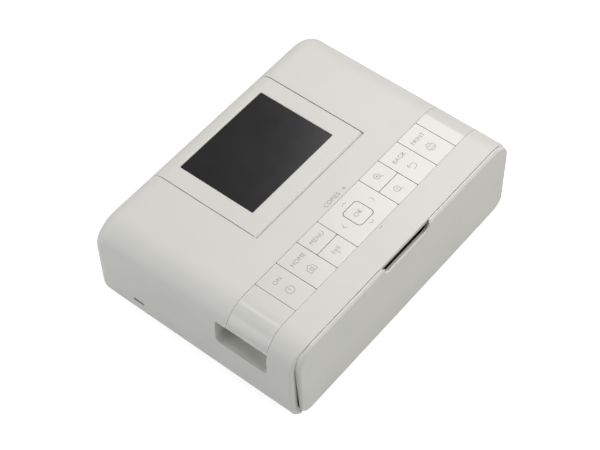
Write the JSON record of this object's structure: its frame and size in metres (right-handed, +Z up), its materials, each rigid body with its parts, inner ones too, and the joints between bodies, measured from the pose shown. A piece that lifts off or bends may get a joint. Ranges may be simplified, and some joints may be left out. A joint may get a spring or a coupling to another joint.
{
  "type": "compact photo printer",
  "caption": "Small rounded desktop photo printer with a tilting display panel, a key strip wrapped over its shoulders, a drop-down front cover, a side recess and a hinged side door.",
  "frame": {"origin": "under the middle of the body, on the surface it stands on", "axes": "+X to the user's right along the width, +Y from the front cover to the back, +Z up"},
  "size_m": [0.1806, 0.136, 0.0633],
  "materials": {
    "shell": "satin warm-white moulding",
    "key": "semi-gloss white moulding",
    "inner": "grey moulding",
    "cassette": "dark moulding",
    "lever_blue": "blue moulding",
    "gear": "natural acetal",
    "film": "glossy thin film",
    "ceramic": "ceramic bar",
    "board": "solder-masked board",
    "steel": "zinc plated",
    "alloy": "extruded",
    "brass": "machined",
    "rubber": "matt",
    "glass": "dark coated window"
  },
  "bodies": {
    "housing": {"top_cover": "shell", "bottom_case": "shell", "inner_front_panel": "inner", "key_frame": "key", "key_mat": "rubber", "key_board": "board", "screen_hinge_pins": "steel", "rubber_feet": "rubber", "case_screws": "steel", "left_frame": "steel", "right_frame": "steel", "cross_bar": "steel", "paper_tunnel": "inner", "pinch_bracket": "steel", "roller_bushes": "gear", "gear_stud": "steel", "motor_bracket": "steel", "feed_motor": "steel", "head_pivot_rod": "steel", "head_springs": "steel", "ink_cassette": "cassette", "ink_ribbon": "film", "ink_door_pin": "steel", "main_board": "board", "io_sockets": "steel", "dc_socket": "cassette", "battery_terminals": "inner"},
    "front_cover_body": {"front_cover": "shell"},
    "screen": {"screen_frame": "shell", "screen_back": "inner", "display_glass": "glass", "display_module": "steel"},
    "ink_door_body": {"ink_door": "shell"},
    "power_key_body": {"power_key": "key"},
    "home_key_body": {"home_key": "key"},
    "menu_key_body": {"menu_key": "key"},
    "wireless_key_body": {"wireless_key": "key"},
    "nav_pad_body": {"nav_pad": "rubber"},
    "nav_key_body": {"nav_key": "key"},
    "ok_key_body": {"ok_key": "key"},
    "zoom_in_key_body": {"zoom_in_key": "key"},
    "zoom_out_key_body": {"zoom_out_key": "key"},
    "back_key_body": {"back_key": "key"},
    "print_key_body": {"print_key": "key"},
    "platen": {"platen_roller": "rubber", "platen_gear": "gear"},
    "feed": {"feed_roller": "steel", "feed_gear": "gear"},
    "pickup": {"pickup_roller": "steel", "pickup_gear": "gear"},
    "pinch": {"pinch_roller": "steel"},
    "reduction": {"reduction_gear": "gear"},
    "takeup": {"takeup_gear": "gear", "takeup_spool": "cassette"},
    "supply": {"supply_spool": "cassette"},
    "pinion": {"motor_pinion": "brass"},
    "head": {"head_bracket": "alloy", "thermal_head": "ceramic"},
    "lever": {"lock_lever": "lever_blue"},
    "battery_door": {"battery_cover": "shell"}
  },
  "joints": [
    {"name": "front_cover_hinge", "type": "hinge", "parent": "housing", "child": "front_cover_body", "pos_m": [0, -0.062, 0.008], "axis": [1, 0, 0], "range_deg": [0, 90]},
    {"name": "screen_tilt", "type": "hinge", "parent": "housing", "child": "screen", "pos_m": [0, -0.00215, 0.0605], "axis": [1, 0, 0], "range_deg": [0, 45]},
    {"name": "ink_door_hinge", "type": "hinge", "parent": "housing", "child": "ink_door_body", "pos_m": [0.0892, 0.05945, 0.04], "axis": [0, 0, 1], "range_deg": [0, 90]},
    {"name": "power_press", "type": "slide", "parent": "housing", "child": "power_key_body", "axis": [0, 0, -1], "range_m": [0, 0.0004], "stiffness_N_per_m": 300},
    {"name": "home_press", "type": "slide", "parent": "housing", "child": "home_key_body", "axis": [0, 0, -1], "range_m": [0, 0.0004], "stiffness_N_per_m": 300},
    {"name": "menu_press", "type": "slide", "parent": "housing", "child": "menu_key_body", "axis": [0, 0, -1], "range_m": [0, 0.0004], "stiffness_N_per_m": 300},
    {"name": "wireless_press", "type": "slide", "parent": "housing", "child": "wireless_key_body", "axis": [0, 0, -1], "range_m": [0, 0.0004], "stiffness_N_per_m": 300},
    {"name": "ok_press", "type": "slide", "parent": "housing", "child": "ok_key_body", "axis": [0, 0, -1], "range_m": [0, 0.0004], "stiffness_N_per_m": 300},
    {"name": "zoom_in_press", "type": "slide", "parent": "housing", "child": "zoom_in_key_body", "axis": [0, 0, -1], "range_m": [0, 0.0004], "stiffness_N_per_m": 300},
    {"name": "zoom_out_press", "type": "slide", "parent": "housing", "child": "zoom_out_key_body", "axis": [0, 0, -1], "range_m": [0, 0.0004], "stiffness_N_per_m": 300},
    {"name": "back_press", "type": "slide", "parent": "housing", "child": "back_key_body", "axis": [0, 0, -1], "range_m": [0, 0.0004], "stiffness_N_per_m": 300},
    {"name": "print_press", "type": "slide", "parent": "housing", "child": "print_key_body", "axis": [0, 0, -1], "range_m": [0, 0.0004], "stiffness_N_per_m": 300},
    {"name": "nav_rock_fore_aft", "type": "hinge", "parent": "housing", "child": "nav_pad_body", "pos_m": [0, -0.03556, 0.0602], "axis": [1, 0, 0], "range_deg": [-1.2, 1.2], "stiffness_Nm_per_rad": 0.05},
    {"name": "nav_rock_sideways", "type": "hinge", "parent": "nav_pad_body", "child": "nav_key_body", "pos_m": [0, -0.03556, 0.0602], "axis": [0, 1, 0], "range_deg": [-1.2, 1.2], "stiffness_Nm_per_rad": 0.05},
    {"name": "feed_turn", "type": "hinge", "parent": "housing", "child": "feed", "pos_m": [0, 0.00955, 0.024], "axis": [1, 0, 0], "continuous": true},
    {"name": "platen_turn", "type": "hinge", "parent": "housing", "child": "platen", "pos_m": [0, 0.02405, 0.024], "axis": [1, 0, 0], "continuous": true},
    {"name": "pickup_turn", "type": "hinge", "parent": "housing", "child": "pickup", "pos_m": [0, -0.00621, 0.02122], "axis": [1, 0, 0], "continuous": true},
    {"name": "pinch_turn", "type": "hinge", "parent": "housing", "child": "pinch", "pos_m": [0, 0.00955, 0.0319], "axis": [1, 0, 0], "continuous": true},
    {"name": "reduction_turn", "type": "hinge", "parent": "housing", "child": "reduction", "pos_m": [0, 0.0168, 0.03938], "axis": [1, 0, 0], "continuous": true},
    {"name": "takeup_turn", "type": "hinge", "parent": "housing", "child": "takeup", "pos_m": [0, -0.00715, 0.041], "axis": [1, 0, 0], "continuous": true},
    {"name": "supply_turn", "type": "hinge", "parent": "housing", "child": "supply", "pos_m": [0, 0.04786, 0.041], "axis": [1, 0, 0], "continuous": true},
    {"name": "pinion_turn", "type": "hinge", "parent": "housing", "child": "pinion", "pos_m": [0, 0.03077, 0.0384], "axis": [1, 0, 0], "continuous": true},
    {"name": "head_lift", "type": "hinge", "parent": "housing", "child": "head", "pos_m": [0, 0.03255, 0.046], "axis": [-1, 0, 0], "range_deg": [0, 8], "deforming": ["head_springs"]},
    {"name": "lock_lever_turn", "type": "hinge", "parent": "housing", "child": "lever", "pos_m": [0, -0.00814, 0.0265], "axis": [1, 0, 0], "range_deg": [0, 35]},
    {"name": "battery_cover_slide", "type": "slide", "parent": "housing", "child": "battery_door", "axis": [0, 1, 0], "range_m": [0, 0.012]}
  ],
  "couplings": [
    {"joint": "platen_turn", "follows": "feed_turn", "ratio": 1},
    {"joint": "pickup_turn", "follows": "feed_turn", "ratio": -0.6},
    {"joint": "pinch_turn", "follows": "feed_turn", "ratio": -2.75},
    {"joint": "reduction_turn", "follows": "feed_turn", "ratio": -0.54546},
    {"joint": "takeup_turn", "follows": "feed_turn", "ratio": 0.46154},
    {"joint": "supply_turn", "follows": "feed_turn", "ratio": -0.3},
    {"joint": "pinion_turn", "follows": "feed_turn", "ratio": 2}
  ]
}
